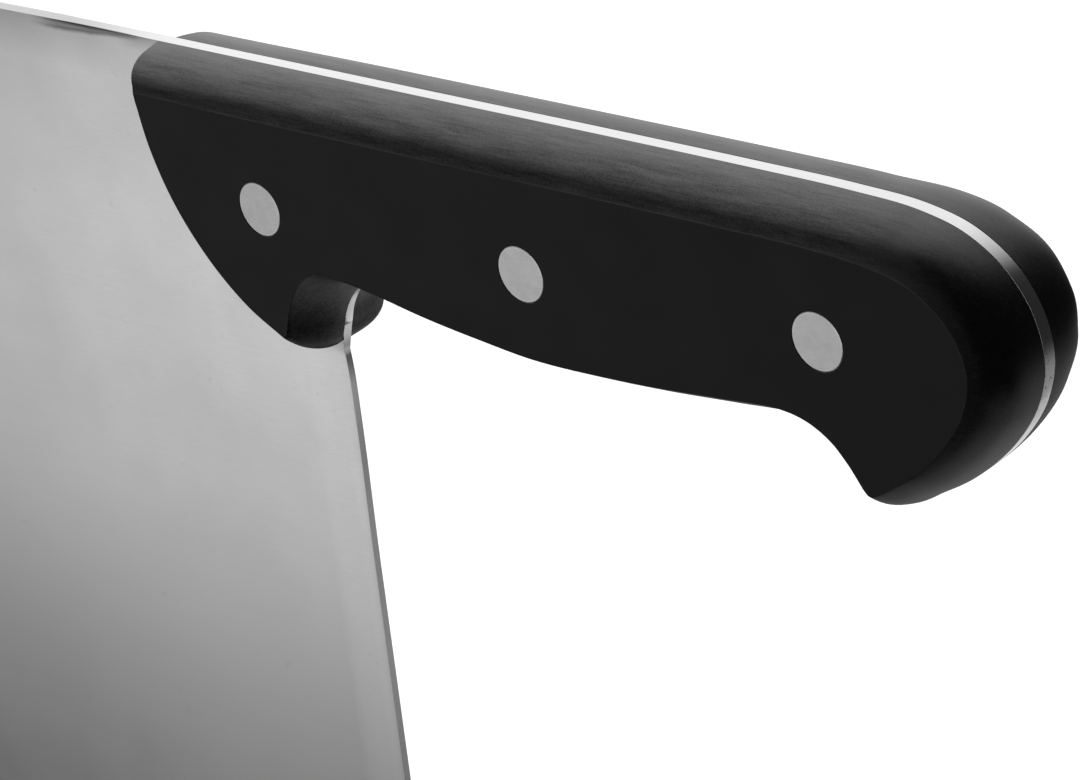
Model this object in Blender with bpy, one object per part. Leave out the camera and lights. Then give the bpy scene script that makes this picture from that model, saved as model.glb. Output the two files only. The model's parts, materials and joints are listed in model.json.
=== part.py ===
"""Meat cleaver: one flat steel blade whose full tang runs the length of the handle,
two handle scales, and three cutler's rivets, each a tube half and a pin half.

Frame: +X towards the butt of the handle, +Z towards the spine, the cutting edge down,
the blade flat in the XZ plane, its left side towards -Y. The origin is the bottom centre
of the whole object's box. Profiles are in millimetres from the handle datum: X from the
middle rivet, Z from the straight line of the spine (so the body lies at negative Z).
"""

import math

import bmesh
import bpy
import numpy as np
from mathutils import Vector

MM = 0.001
LEFT, RIGHT = -1, 1  # sign of Y on each side

# ---------------------------------------------------------------- driving dimensions (mm)
STOCK = 2.0  # thickness of the blade and its tang
HANDLE_THICKNESS = 18.7  # over both scales
GAP = 0.3  # between a scale and the tang, and round each rivet
HALF_STOCK = STOCK / 2
OUTER = HANDLE_THICKNESS / 2  # mid-plane to a scale's flat face
INNER = HALF_STOCK + GAP  # mid-plane to a scale's inner face

EDGE_LAND = 0.3  # thickness left at the cutting edge
BEVEL_HEIGHT = 7.0  # height of the ground bevel above the edge
BEVEL_END = 0.95  # share of that height at which the bevel stops on the front corner

RIVET_PITCH = 49.9
RIVETS = (("front", -RIVET_PITCH, -18.0), ("middle", 0.0, -18.0), ("rear", RIVET_PITCH, -17.1))
HEAD_RADIUS = 7.94 / 2  # 5/16 in across
HEAD_THICKNESS = 1.6
TUBE_RADIUS = 5.6 / 2
BORE_RADIUS = 4.1 / 2
PIN_RADIUS = 3.4 / 2
TUBE_END = 5.6  # Y of the tube half's open end
BORE_BLIND = -6.4  # Y of the bottom of the tube's bore
PIN_END = -5.6  # Y of the pin's tip
PIN_CHAMFER = 0.5
CUTTER_OVERSHOOT = 1.0  # how far a bore cutter stands out of the scales

# Mesh resolution: curve steps in mm, the rest are counts unless noted.
ROUND_STEPS = 32
SECTION_STEPS = 8  # across a scale's rim, from face to tang
STATION_STEP = 6.0
HEEL_STEP = 8
SPINE_STEP = 12
EDGE_STEP = 10
TOP_ARC_STEPS = 8
LOW_ARC_STEPS = 6
MAX_TURN = 0.5  # radians of turn per curve step
STRAIGHT_TOLERANCE = 0.01  # mm
SHARP_ANGLE = math.radians(35)

# ---------------------------------------------------------------- handle outline (mm)
# Rim of a scale, clockwise from the top front corner as seen from the left side, one named
# run after another. Each row is (x, z) on the edge of the flat outer face, then (x, z) on
# the outline at the tang.
TOP_RUN = [
    ((-72.65, -4.45), (-75.35, 0.0)), ((-52.0, -4.5), (-52.0, 0.0)),
    ((-20.0, -4.5), (-20.0, 0.0)), ((10.0, -4.5), (10.0, 0.0)),
    ((35.0, -4.55), (35.0, -0.1)), ((50.0, -4.7), (50.3, -0.3)),
]
BUTT_RUN = [
    ((60.3, -5.6), (61.2, -1.0)), ((65.7, -7.1), (67.9, -2.8)),
    ((69.7, -10.1), (73.4, -6.6)), ((71.9, -13.6), (76.7, -11.7)),
    ((72.6, -17.3), (77.7, -17.5)), ((71.5, -21.7), (76.1, -23.6)),
]
HOOK_BACK_RUN = [
    ((68.7, -26.3), (72.3, -29.3)), ((63.5, -31.7), (66.3, -35.0)),
    ((58.9, -35.0), (61.2, -38.2)), ((56.5, -36.5), (58.2, -40.0)),
    ((55.4, -36.9), (54.3, -41.2)),
]
HOOK_FRONT_RUN = [
    ((54.6, -36.4), (51.3, -39.6)), ((52.4, -33.2), (49.3, -35.6)),
    ((50.0, -30.6), (47.5, -33.7)), ((46.6, -28.7), (45.2, -32.4)),
    ((42.4, -27.9), (42.2, -31.9)),
]
GRIP_RUN = [
    ((32.5, -28.6), (32.8, -32.6)), ((21.9, -29.5), (22.2, -33.5)),
    ((11.0, -30.1), (11.1, -34.1)), ((0.0, -30.3), (-0.1, -34.3)),
    ((-9.6, -29.5), (-10.0, -33.5)), ((-20.0, -28.3), (-20.5, -32.2)),
    ((-30.0, -26.7), (-30.5, -30.5)),
]
CHOIL_RUN = [
    ((-36.5, -26.0), (-36.8, -29.8)), ((-40.5, -26.0), (-40.3, -30.2)),
    ((-43.6, -27.6), (-42.6, -31.9)), ((-46.2, -30.4), (-44.45, -33.9)),
    ((-48.0, -33.8), (-45.95, -36.3)), ((-49.1, -36.6), (-46.95, -38.9)),
    ((-49.5, -37.2), (-47.95, -41.3)),
]
FRONT_RUN = [
    ((-50.1, -37.4), (-49.7, -42.2)), ((-51.0, -37.0), (-52.6, -41.3)),
    ((-56.0, -34.4), (-58.6, -37.0)), ((-61.3, -30.0), (-64.1, -31.0)),
    ((-65.9, -24.5), (-68.7, -24.5)), ((-69.2, -18.8), (-72.0, -18.8)),
    ((-71.5, -12.3), (-74.35, -12.3)), ((-72.45, -6.8), (-75.2, -6.8)),
]
RIM_LOOP = TOP_RUN + BUTT_RUN + HOOK_BACK_RUN + HOOK_FRONT_RUN + GRIP_RUN + CHOIL_RUN + FRONT_RUN
FACE_CORNER_X = TOP_RUN[0][0][0]

CORNER_RISE = 4.45  # the front wall's top corner climbs this far from the face's edge to the tang
CORNER_RUN = 7.0  # over this length of the front edge
RIGHT_SET_BACK = 1.5  # the right scale's front end starts this much further back
# The front wall's line is read from these last stations, where the face lies ahead of this X.
WALL_STATIONS = 40
WALL_LIMIT_X = -62.0

# Rounding between face and tang as (depth, outward) exponents: the larger, the fuller.
SOFT = (2.5, 2.0)
SOFTER = (2.15, 1.9)
HOOK = (2.0, 1.5)
CRISP = (1.45, 1.0)  # a shallow bulge that leaves a crisp edge
STRAIGHT = (1.0, 1.0)
# Where the scales differ. "butt" runs down the butt from its second row; "tip" is the
# choil's lower end and "front" the first row of the front end.
ROUNDING = {
    LEFT: dict(
        top=SOFT,
        butt=((3.2, 2.0), (3.2, 2.0), (3.2, 2.0), (3.2, 2.0), (2.7, 2.0)),
        choil=CRISP, tip=(1.9, 1.4), front=(1.6, 1.2),
    ),
    RIGHT: dict(
        top=SOFTER,
        butt=((3.5, 2.55), (4.4, 3.2), (3.9, 2.75), (2.9, 2.1), (2.3, 1.8)),
        choil=(2.4, 1.7), tip=(3.4, 2.4), front=(2.4, 1.8),
    ),
}

# ---------------------------------------------------------------- blade outline (mm)
# (x, z) in front of the handle and below it.
SPINE_RUN = [
    (-252.0, -6.4), (-225.0, -3.8), (-190.0, -2.1), (-150.0, -0.9), (-115.0, -0.3), (-90.0, 0.0),
]
HEEL_RUN = [(-48.25, -43.0), (-48.3, -47.0), (-49.8, -74.0), (-51.2, -98.0), (-53.1, -130.0)]
HEEL_CORNER = (-54.2, -148.5)
EDGE_RUN = [(-90.0, -152.6), (-130.0, -155.2), (-170.0, -156.0), (-210.0, -154.8), (-242.0, -151.8)]
FRONT_CORNER_LOW = (-261.5, -149.2)
FRONT_CORNER_TOP = (-264.5, -8.0)
LOW_RADIUS = 9.0
TOP_RADIUS = 14.0
TANG_END = (-46.4, -39.0)  # the tang's outline stops once it is ahead of this X and below this Z
FLAT_CUT_X = -80.0  # line across the blade's flat, in front of the handle

# ---------------------------------------------------------------- finishes
BLADE_STEEL = dict(colour=(0.46, 0.46, 0.46), roughness=0.26, metallic=1.0)
RIVET_STEEL = dict(colour=(0.52, 0.52, 0.52), roughness=0.32, metallic=1.0)
BLACK_PLASTIC = dict(colour=(0.016, 0.016, 0.017), roughness=0.42, metallic=0.0)


# ---------------------------------------------------------------- curves
def direction(vector):
    return math.atan2(vector[1], vector[0])


def wrap_angle(angle):
    """The same angle between -pi and pi."""
    return (angle + math.pi) % (2 * math.pi) - math.pi


def blend(start, end, start_knot, end_knot, t):
    span = end_knot - start_knot
    return (end_knot - t) / span * start + (t - start_knot) / span * end


def smooth_run(points, step):
    """Centripetal Catmull-Rom curve through the points, sampled about every step."""
    points = [np.array(p, float) for p in points]
    points = [2 * points[0] - points[1]] + points + [2 * points[-1] - points[-2]]
    curve = []
    for before, start, end, after in zip(points, points[1:], points[2:], points[3:]):
        knot1 = math.sqrt(np.linalg.norm(start - before))
        knot2 = knot1 + math.sqrt(np.linalg.norm(end - start))
        knot3 = knot2 + math.sqrt(np.linalg.norm(after - end))
        turn = abs(wrap_angle(direction(after - end) - direction(start - before)))
        along = math.ceil(np.linalg.norm(end - start) / step)
        count = max(2, along, math.ceil(turn / MAX_TURN))
        for j in range(count):
            t = knot1 + (knot2 - knot1) * j / count
            first = blend(before, start, 0.0, knot1, t)
            middle = blend(start, end, knot1, knot2, t)
            last = blend(end, after, knot2, knot3, t)
            lower = blend(first, middle, 0.0, knot2, t)
            upper = blend(middle, last, knot1, knot3, t)
            curve.append(blend(lower, upper, knot1, knot2, t))
    curve.append(points[-2])
    return curve


def corner_arc(before, corner, after, radius, steps):
    """Points of a fillet of this radius between two straight sides."""
    before, corner, after = (np.array(p, float) for p in (before, corner, after))
    to_before = (before - corner) / np.linalg.norm(before - corner)
    to_after = (after - corner) / np.linalg.norm(after - corner)
    half = math.acos(float(np.clip(to_before @ to_after, -1, 1))) / 2
    bisector = (to_before + to_after) / np.linalg.norm(to_before + to_after)
    centre = corner + bisector * radius / math.sin(half)
    start = corner + to_before * radius / math.tan(half)
    end = corner + to_after * radius / math.tan(half)
    first = direction(start - centre)
    sweep = wrap_angle(direction(end - centre) - first)
    angles = [first + sweep * k / steps for k in range(steps + 1)]
    return [
        (centre[0] + radius * math.cos(a), centre[1] + radius * math.sin(a)) for a in angles
    ]


def without_straight_points(points, tolerance):
    """Drops each point within tolerance of the line from the last kept point to the next."""
    kept = [points[0]]
    for point, after in zip(points[1:-1], points[2:]):
        chord = np.array(after, float) - np.array(kept[-1], float)
        away = np.array(point, float) - np.array(kept[-1], float)
        if abs(chord[0] * away[1] - chord[1] * away[0]) > tolerance * np.linalg.norm(chord):
            kept.append(point)
    return kept + [points[-1]]


def ease(x):
    x = min(1.0, max(0.0, x))
    return x * x * (3 - 2 * x)


def keyed(keys, place):
    """Value at a place from (place, value) keys, eased between neighbours."""
    if place <= keys[0][0]:
        return np.array(keys[0][1], float)
    for (start, start_value), (end, end_value) in zip(keys, keys[1:]):
        if place <= end:
            share = ease((place - start) / (end - start))
            return np.array(start_value, float) * (1 - share) + np.array(end_value, float) * share
    return np.array(keys[-1][1], float)


# ---------------------------------------------------------------- rim of a scale
def rounding_keys(side, at, total):
    """(place, exponents) keys round the rim; at(row) is a row's place along it."""
    shape = ROUNDING[side]
    return [
        (0, shape["top"]),
        (at(TOP_RUN[2]) * 0.8, SOFT),
        (at(TOP_RUN[-1]), SOFT),
        *((at(row), value) for row, value in zip(BUTT_RUN[1:], shape["butt"])),
        (at(HOOK_BACK_RUN[2]), HOOK),
        (at(HOOK_FRONT_RUN[0]), CRISP),
        (at(GRIP_RUN[5]), CRISP),
        (at(CHOIL_RUN[0]), shape["choil"]),
        (at(CHOIL_RUN[3]), shape["choil"]),
        (at(CHOIL_RUN[6]), shape["tip"]),
        (at(FRONT_RUN[0]), shape["front"]),
        (at(FRONT_RUN[2]), STRAIGHT),
        (total, STRAIGHT),
    ]


def rim_stations(side):
    """Stations round a scale: (face point, tang point, exponents, corner rise, set-back)."""
    # Face and tang points run as one four-dimensional curve, and places are lengths along it.
    curve = smooth_run([face + tang for face, tang in RIM_LOOP + [RIM_LOOP[0]]], STATION_STEP)
    places = [0.0]
    for start, end in zip(curve, curve[1:]):
        places.append(places[-1] + float(np.linalg.norm(end - start)))
    total = places[-1]

    def at(row):
        goal = np.array(row[0] + row[1])
        nearest = min(range(len(curve) - 1), key=lambda k: np.linalg.norm(curve[k] - goal))
        return places[nearest]

    rounding = rounding_keys(side, at, total)
    set_back_keys = [
        (0, 1.0), (at(TOP_RUN[1]), 0.0), (at(FRONT_RUN[1]), 0.0), (at(FRONT_RUN[3]), 1.0),
        (total, 1.0),
    ]
    stations = []
    for point, place in zip(curve[:-1], places):
        rise = CORNER_RISE * ease(1 - (total - place) / CORNER_RUN) if place > 0 else 0.0
        exponents = keyed(rounding, place) if rise == 0 else ROUNDING[side]["top"]
        set_back = RIGHT_SET_BACK * float(keyed(set_back_keys, place)) if side == RIGHT else 0.0
        stations.append((point[:2], point[2:], exponents, rise, set_back))
    return stations


def rim_rows(side):
    """Rows of (x, z, depth) from the flat face's edge (depth 0) to the tang (depth 1)."""
    stations = rim_stations(side)
    wall = sorted(
        (face[1], face[0], tang[0] - face[0])
        for face, tang, *_ in stations[-WALL_STATIONS:]
        if face[0] < WALL_LIMIT_X
    )
    wall_z, wall_x, wall_lean = (list(column) for column in zip(*wall))
    rows = []
    for face, tang, (depth_power, out_power), rise, set_back in stations:
        row = []
        for j in range(SECTION_STEPS + 1):
            angle = 0.5 * math.pi * j / SECTION_STEPS
            depth = 1 - math.cos(angle) ** (2 / depth_power) if j < SECTION_STEPS else 1.0
            out = math.sin(angle) ** (2 / out_power) if j > 0 else 0.0
            if rise > 0:
                # Near the top corner the section climbs within the leaning front wall.
                z = face[1] + rise * out
                lean = float(np.interp(z, wall_z, wall_lean))
                x = float(np.interp(z, wall_z, wall_x)) + depth * lean
            elif face[0] == FACE_CORNER_X:
                z = face[1] + (tang[1] - face[1]) * out
                x = face[0] + (tang[0] - face[0]) * depth
            else:
                x, z = face + (tang - face) * out
            row.append((x + set_back, z, depth))
        rows.append(row)
    return rows


# ---------------------------------------------------------------- meshes
def scale_mesh(side):
    """One handle scale."""
    bm = bmesh.new()
    rings = [
        [
            bm.verts.new((x * MM, side * (OUTER + (INNER - OUTER) * depth) * MM, z * MM))
            for x, z, depth in row
        ]
        for row in rim_rows(side)
    ]
    for ring, following in zip(rings, rings[1:] + rings[:1]):
        for j in range(SECTION_STEPS):
            bm.faces.new((ring[j], following[j], following[j + 1], ring[j + 1]))
    caps = [bm.faces.new([ring[end] for ring in rings]) for end in (0, -1)]
    bm.normal_update()
    bmesh.ops.triangulate(bm, faces=caps)
    return bm


def blade_outline():
    """Runs of the blade's outline: tang, heel, spine, top and low front corners, edge."""
    tang = [row[-1][:2] for row in rim_rows(LEFT)]
    # The tang follows the scales' outline from the top front corner round to the choil tip.
    last = next(
        k for k, (x, z) in enumerate(tang)
        if k > len(tang) // 2 and x < TANG_END[0] and z < TANG_END[1]
    )
    heel = smooth_run(HEEL_RUN, HEEL_STEP)
    spine = smooth_run(SPINE_RUN, SPINE_STEP)
    top = corner_arc(
        SPINE_RUN[0], FRONT_CORNER_TOP, FRONT_CORNER_LOW, TOP_RADIUS, TOP_ARC_STEPS
    )
    low = corner_arc(FRONT_CORNER_TOP, FRONT_CORNER_LOW, EDGE_RUN[-1], LOW_RADIUS, LOW_ARC_STEPS)
    edge = smooth_run([HEEL_CORNER] + EDGE_RUN, EDGE_STEP)
    return tang[: last + 1], heel, spine, top, low, edge


def ground_bevel(edge, low):
    """(edge line, bevel's upper line, half thickness along the edge, corner points above it).

    The upper line runs BEVEL_HEIGHT above the edge, and the thickness falls evenly below it,
    so the bevel dies out where the rounded front corner climbs towards that line.
    """
    land = EDGE_LAND / 2
    run_out = edge[-1] - edge[-2]

    def base(x):
        """Height of the edge carried straight on past its front end."""
        return edge[-1][1] + run_out[1] / run_out[0] * (x - edge[-1][0])

    edge_line = [tuple(p) for p in edge]
    bevel_line = [(x, z + BEVEL_HEIGHT) for x, z in edge_line]
    halves = [land] * len(edge_line)
    above = []
    for x, z in low[::-1]:
        rise = (z - base(x)) / BEVEL_HEIGHT
        if rise > BEVEL_END:
            above.append((x, z))
        else:
            edge_line.append((x, z))
            bevel_line.append((x, base(x) + BEVEL_HEIGHT))
            halves.append(land + (HALF_STOCK - land) * max(0.0, rise))
    # At the heel the bevel line ends on the blade's outline.
    heel_low = np.array(HEEL_RUN[-1], float)
    corner = np.array(HEEL_CORNER, float)
    share = (corner[1] + BEVEL_HEIGHT - heel_low[1]) / (corner[1] - heel_low[1])
    bevel_line[0] = tuple(heel_low + (corner - heel_low) * share)
    return edge_line, bevel_line, halves, above


def bridge(bm, first, second):
    """Quads between two open rows of vertices."""
    for k in range(len(first) - 1):
        bm.faces.new((first[k], first[k + 1], second[k + 1], second[k]))


def blade_mesh(outline):
    """Blade and tang: a flat body ring on each side, and a lip along each side of the edge."""
    tang, heel, spine, top, low, edge = outline
    edge_line, bevel_line, halves, above = ground_bevel(edge, low)
    back = above + top[::-1] + spine + tang + heel
    body = bevel_line + without_straight_points(back, STRAIGHT_TOLERANCE)
    bm = bmesh.new()
    sides = []
    for side in (LEFT, RIGHT):
        ring = [bm.verts.new((x * MM, side * HALF_STOCK * MM, z * MM)) for x, z in body]
        lip = [
            bm.verts.new((x * MM, side * half * MM, z * MM))
            for (x, z), half in zip(edge_line, halves)
        ]
        sides.append((ring, lip))
    n = len(edge_line)
    for ring, lip in sides:
        bridge(bm, ring[:n], lip)
        # At the front the bevel closes in one triangle on the rounded corner.
        bm.faces.new((ring[n - 1], ring[n], lip[n - 1]))
    (left_ring, left_lip), (right_ring, right_lip) = sides
    bridge(bm, left_ring[n:] + left_ring[:1], right_ring[n:] + right_ring[:1])
    bridge(bm, left_lip, right_lip)
    bm.faces.new((left_ring[0], left_lip[0], right_lip[0], right_ring[0]))
    bm.faces.new((left_ring[n], left_lip[n - 1], right_lip[n - 1], right_ring[n]))
    for ring, _ in sides:
        bm.faces.new(ring)
    bm.normal_update()
    bmesh.ops.triangulate(bm, faces=[f for f in bm.faces if len(f.verts) > 4])
    # A cut line in front of the handle keeps the blade's flat apart from the covered tang.
    bmesh.ops.bisect_plane(
        bm,
        geom=list(bm.faces) + list(bm.edges) + list(bm.verts),
        plane_co=Vector((FLAT_CUT_X * MM, 0, 0)),
        plane_no=Vector((1, 0, 0)),
    )
    return bm


def turned(profile):
    """Solid turned about the Y axis from (radius, y) points; the first and last lie on the axis."""
    bm = bmesh.new()
    angles = [2 * math.pi * k / ROUND_STEPS for k in range(ROUND_STEPS)]
    rings = []
    for radius, y in profile:
        if radius == 0:
            rings.append([bm.verts.new((0, y * MM, 0))])
            continue
        rings.append([
            bm.verts.new((radius * math.cos(a) * MM, y * MM, radius * math.sin(a) * MM))
            for a in angles
        ])
    for ring, following in zip(rings, rings[1:]):
        for k in range(ROUND_STEPS):
            n = (k + 1) % ROUND_STEPS
            if len(ring) == 1:
                bm.faces.new((ring[0], following[k], following[n]))
            elif len(following) == 1:
                bm.faces.new((ring[k], following[0], ring[n]))
            else:
                bm.faces.new((ring[k], following[k], following[n], ring[n]))
    return bm


def rivet_tube_mesh():
    """Left half of a rivet: a head on a tube with a blind bore."""
    under_head = -OUTER + HEAD_THICKNESS
    return turned([
        (0, -OUTER), (HEAD_RADIUS, -OUTER), (HEAD_RADIUS, under_head), (TUBE_RADIUS, under_head),
        (TUBE_RADIUS, TUBE_END), (BORE_RADIUS, TUBE_END), (BORE_RADIUS, BORE_BLIND),
        (0, BORE_BLIND),
    ])


def rivet_pin_mesh():
    """Right half of a rivet: a head on a pin with a chamfered tip."""
    under_head = OUTER - HEAD_THICKNESS
    return turned([
        (0, OUTER), (HEAD_RADIUS, OUTER), (HEAD_RADIUS, under_head), (PIN_RADIUS, under_head),
        (PIN_RADIUS, PIN_END + PIN_CHAMFER), (PIN_RADIUS - PIN_CHAMFER, PIN_END), (0, PIN_END),
    ])


def rivet_bore_mesh():
    """Cutter for a rivet's stepped hole, GAP clear of the heads and the tube."""
    end = OUTER + CUTTER_OVERSHOOT
    shoulder = OUTER - HEAD_THICKNESS - GAP
    wide, narrow = HEAD_RADIUS + GAP, TUBE_RADIUS + GAP
    return turned([
        (0, -end), (wide, -end), (wide, -shoulder), (narrow, -shoulder),
        (narrow, shoulder), (wide, shoulder), (wide, end), (0, end),
    ])


# ---------------------------------------------------------------- objects
def clear_scene():
    for obj in list(bpy.data.objects):
        bpy.data.objects.remove(obj, do_unlink=True)


def make_material(name, colour, roughness, metallic):
    material = bpy.data.materials.new(name)
    material.use_nodes = True
    shader = material.node_tree.nodes["Principled BSDF"]
    shader.inputs["Base Color"].default_value = (*colour, 1.0)
    shader.inputs["Roughness"].default_value = roughness
    shader.inputs["Metallic"].default_value = metallic
    return material


def add_datum(outline):
    """Empty at the handle datum, placed so that the world origin is the bottom centre."""
    xs, zs = zip(*(point for run in outline for point in run))
    datum = bpy.data.objects.new("handle_datum", None)
    bpy.context.scene.collection.objects.link(datum)
    datum.location = (-(min(xs) + max(xs)) / 2 * MM, 0, -min(zs) * MM)
    return datum


def add_object(name, bm, material, datum):
    bmesh.ops.recalc_face_normals(bm, faces=bm.faces)
    mesh = bpy.data.meshes.new(name)
    bm.to_mesh(mesh)
    bm.free()
    obj = bpy.data.objects.new(name, mesh)
    bpy.context.scene.collection.objects.link(obj)
    if material:
        mesh.materials.append(material)
    mesh.shade_smooth()
    mesh.set_sharp_from_angle(angle=SHARP_ANGLE)
    obj.parent = datum
    return obj


def cut(target, cutter):
    modifier = target.modifiers.new(cutter.name, "BOOLEAN")
    modifier.operation = "DIFFERENCE"
    modifier.object = cutter


def add_rivet(position, x, z, datum, targets):
    """Both halves of one rivet, and the hidden cutter of its hole through the targets."""
    pieces = []
    for half, mesh in (("tube", rivet_tube_mesh()), ("pin", rivet_pin_mesh())):
        name = f"{position}_rivet_{half}"
        material = make_material(f"{name}_steel", **RIVET_STEEL)
        pieces.append(add_object(name, mesh, material, datum))
    bore = add_object(f"{position}_rivet_bore_cutter", rivet_bore_mesh(), None, datum)
    bore.hide_render = True
    bore.display_type = "WIRE"
    for obj in (*pieces, bore):
        obj.location = (x * MM, 0, z * MM)
    for target in targets:
        cut(target, bore)


def build_cleaver():
    outline = blade_outline()
    datum = add_datum(outline)
    steel = make_material("blade_steel", **BLADE_STEEL)
    targets = [add_object("blade_and_tang", blade_mesh(outline), steel, datum)]
    for name, side in (("left", LEFT), ("right", RIGHT)):
        plastic = make_material(f"{name}_scale_plastic", **BLACK_PLASTIC)
        targets.append(add_object(f"{name}_handle_scale", scale_mesh(side), plastic, datum))
    for position, x, z in RIVETS:
        add_rivet(position, x, z, datum, targets)


clear_scene()
build_cleaver()
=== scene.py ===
"""Looks of a meat cleaver: the blade with its tang, two handle scales, three two-part rivets,
procedural materials and a plain studio.

The blade points to -X and its spine faces +Z; the left scale is on the -Y side, towards the
camera. Sizes are in millimetres in the handle's datum: X from the middle rivet, Y from the
blade's middle plane, Z from the straight line of the spine."""

import json
import math

import bmesh
import bpy
import numpy as np
from mathutils import Matrix, Vector
from mathutils.geometry import delaunay_2d_cdt

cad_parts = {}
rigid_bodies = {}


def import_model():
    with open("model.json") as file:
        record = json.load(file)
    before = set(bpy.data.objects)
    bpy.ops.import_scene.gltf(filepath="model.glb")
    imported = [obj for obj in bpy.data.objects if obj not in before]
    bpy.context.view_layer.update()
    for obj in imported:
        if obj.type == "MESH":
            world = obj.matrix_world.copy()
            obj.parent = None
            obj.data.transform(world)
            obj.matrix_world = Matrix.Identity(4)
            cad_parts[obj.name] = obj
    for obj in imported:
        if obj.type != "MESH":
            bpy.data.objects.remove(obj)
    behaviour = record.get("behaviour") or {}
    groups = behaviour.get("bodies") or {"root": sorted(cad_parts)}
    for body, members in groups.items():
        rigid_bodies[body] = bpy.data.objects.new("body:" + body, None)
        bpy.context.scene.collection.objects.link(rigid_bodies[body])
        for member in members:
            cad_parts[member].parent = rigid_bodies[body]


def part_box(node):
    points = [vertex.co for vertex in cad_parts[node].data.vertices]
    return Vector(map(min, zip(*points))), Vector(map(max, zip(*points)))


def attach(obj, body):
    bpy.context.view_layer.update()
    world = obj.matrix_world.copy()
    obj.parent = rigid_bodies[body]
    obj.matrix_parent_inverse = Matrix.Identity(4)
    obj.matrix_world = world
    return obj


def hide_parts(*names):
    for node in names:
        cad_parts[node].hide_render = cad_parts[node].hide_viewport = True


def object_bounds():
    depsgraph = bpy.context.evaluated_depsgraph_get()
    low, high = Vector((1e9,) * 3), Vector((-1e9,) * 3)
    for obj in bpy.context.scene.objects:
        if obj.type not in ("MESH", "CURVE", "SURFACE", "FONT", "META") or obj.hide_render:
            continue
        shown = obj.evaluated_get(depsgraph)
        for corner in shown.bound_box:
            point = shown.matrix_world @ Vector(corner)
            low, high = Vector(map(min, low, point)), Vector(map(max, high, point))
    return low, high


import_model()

cad_box = [list(corner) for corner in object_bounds()]
MM = 0.001

# ---------------------------------------------------------------- sizes taken from the frame
BUTT_X = 77.7  # the butt's furthest point
blade_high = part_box("blade_and_tang")[1]
DATUM = Vector((blade_high.x - BUTT_X * MM, 0.0, blade_high.z))
BLADE_HALF = blade_high.y / MM  # half the thickness of the steel
HANDLE_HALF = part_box("right_handle_scale")[1].y / MM  # from the middle plane to a scale's face


def rivet_place(name):
    low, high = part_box(name)
    return ((low.x + high.x) / 2 - DATUM.x) / MM, ((low.z + high.z) / 2 - DATUM.z) / MM


RIVETS = [(name, *rivet_place(f"{name}_rivet_tube")) for name in ("front", "middle", "rear")]
head_low, head_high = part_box("front_rivet_tube")
HEAD_R = (head_high.x - head_low.x) / 2 / MM
HEAD_THICK = 1.6
HEAD_RIM = 0.16  # rounding of a head's border
TUBE_R = 2.8
BORE_R = 2.05
PIN_R = 1.7
SHANK_HOLE_R = TUBE_R + 0.25

# ---------------------------------------------------------------- rim of a scale
# Each row: (x, z) on the border of the flat face, (x, z) on the tang's outline.
TOP_RUN = [
    ((-72.65, -4.45), (-75.35, 0.0)), ((-52.0, -4.5), (-52.0, 0.0)), ((-20.0, -4.5), (-20.0, 0.0)),
    ((10.0, -4.5), (10.0, 0.0)), ((35.0, -4.55), (35.0, -0.1)), ((50.0, -4.7), (50.3, -0.3)),
]
BUTT_RUN = [
    ((60.3, -5.6), (61.2, -1.0)), ((65.7, -7.1), (67.9, -2.8)), ((69.7, -10.1), (73.4, -6.6)),
    ((71.9, -13.6), (76.7, -11.7)), ((72.6, -17.3), (77.7, -17.5)), ((71.5, -21.7), (76.1, -23.6)),
]
HOOK_BACK_RUN = [
    ((68.7, -26.3), (72.3, -29.3)), ((63.5, -31.7), (66.3, -35.0)), ((58.9, -35.0), (61.2, -38.2)),
    ((56.5, -36.5), (58.2, -40.0)), ((55.4, -36.9), (54.3, -41.2)),
]
HOOK_FRONT_RUN = [
    ((54.6, -36.4), (51.3, -39.6)), ((52.4, -33.2), (49.3, -35.6)), ((50.0, -30.6), (47.5, -33.7)),
    ((46.6, -28.7), (45.2, -32.4)), ((42.4, -27.9), (42.2, -31.9)),
]
GRIP_RUN = [
    ((32.5, -28.6), (32.8, -32.6)), ((21.9, -29.5), (22.2, -33.5)), ((11.0, -30.1), (11.1, -34.1)),
    ((0.0, -30.3), (-0.1, -34.3)), ((-9.6, -29.5), (-10.0, -33.5)),
    ((-20.0, -28.3), (-20.5, -32.2)), ((-30.0, -26.7), (-30.5, -30.5)),
]
CHOIL_RUN = [
    ((-36.5, -26.0), (-36.8, -29.8)), ((-40.5, -26.0), (-40.3, -30.2)),
    ((-43.6, -27.6), (-42.6, -31.9)), ((-46.2, -30.4), (-44.45, -33.9)),
    ((-48.0, -33.8), (-45.95, -36.3)), ((-49.1, -36.6), (-46.95, -38.9)),
    ((-49.5, -37.2), (-47.95, -41.3)),
]
FRONT_RUN = [
    ((-50.1, -37.4), (-49.7, -42.2)), ((-51.0, -37.0), (-52.6, -41.3)),
    ((-56.0, -34.4), (-58.6, -37.0)), ((-61.3, -30.0), (-64.1, -31.0)),
    ((-65.9, -24.5), (-68.7, -24.5)), ((-69.2, -18.8), (-72.0, -18.8)),
    ((-71.5, -12.3), (-74.35, -12.3)), ((-72.45, -6.8), (-75.2, -6.8)),
]
RIM_STEP = 0.9
RIM_BEND = 0.12  # radians between stations
CORNER_RISE = 4.45  # the front wall climbs this far at the top front corner
CORNER_RUN = 7.0  # over this much of the rim
RIGHT_SET_BACK = 1.5  # the right scale's front wall lies this much further back
CHOIL_OVERHANG = 0.55  # how far the left scale stands proud of the tang in the choil
SEAM = 0.03  # hairline between a scale and the tang, and round a rivet head
SOFT_EDGE = 0.14  # rounding of the border of a scale's flat face
SOFT_PARTS = (0.0, 0.06, 0.25, 0.5, 0.75, 1.0)
INNER_EASE = 0.05  # easing of a scale's inner edge at the tang

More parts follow.
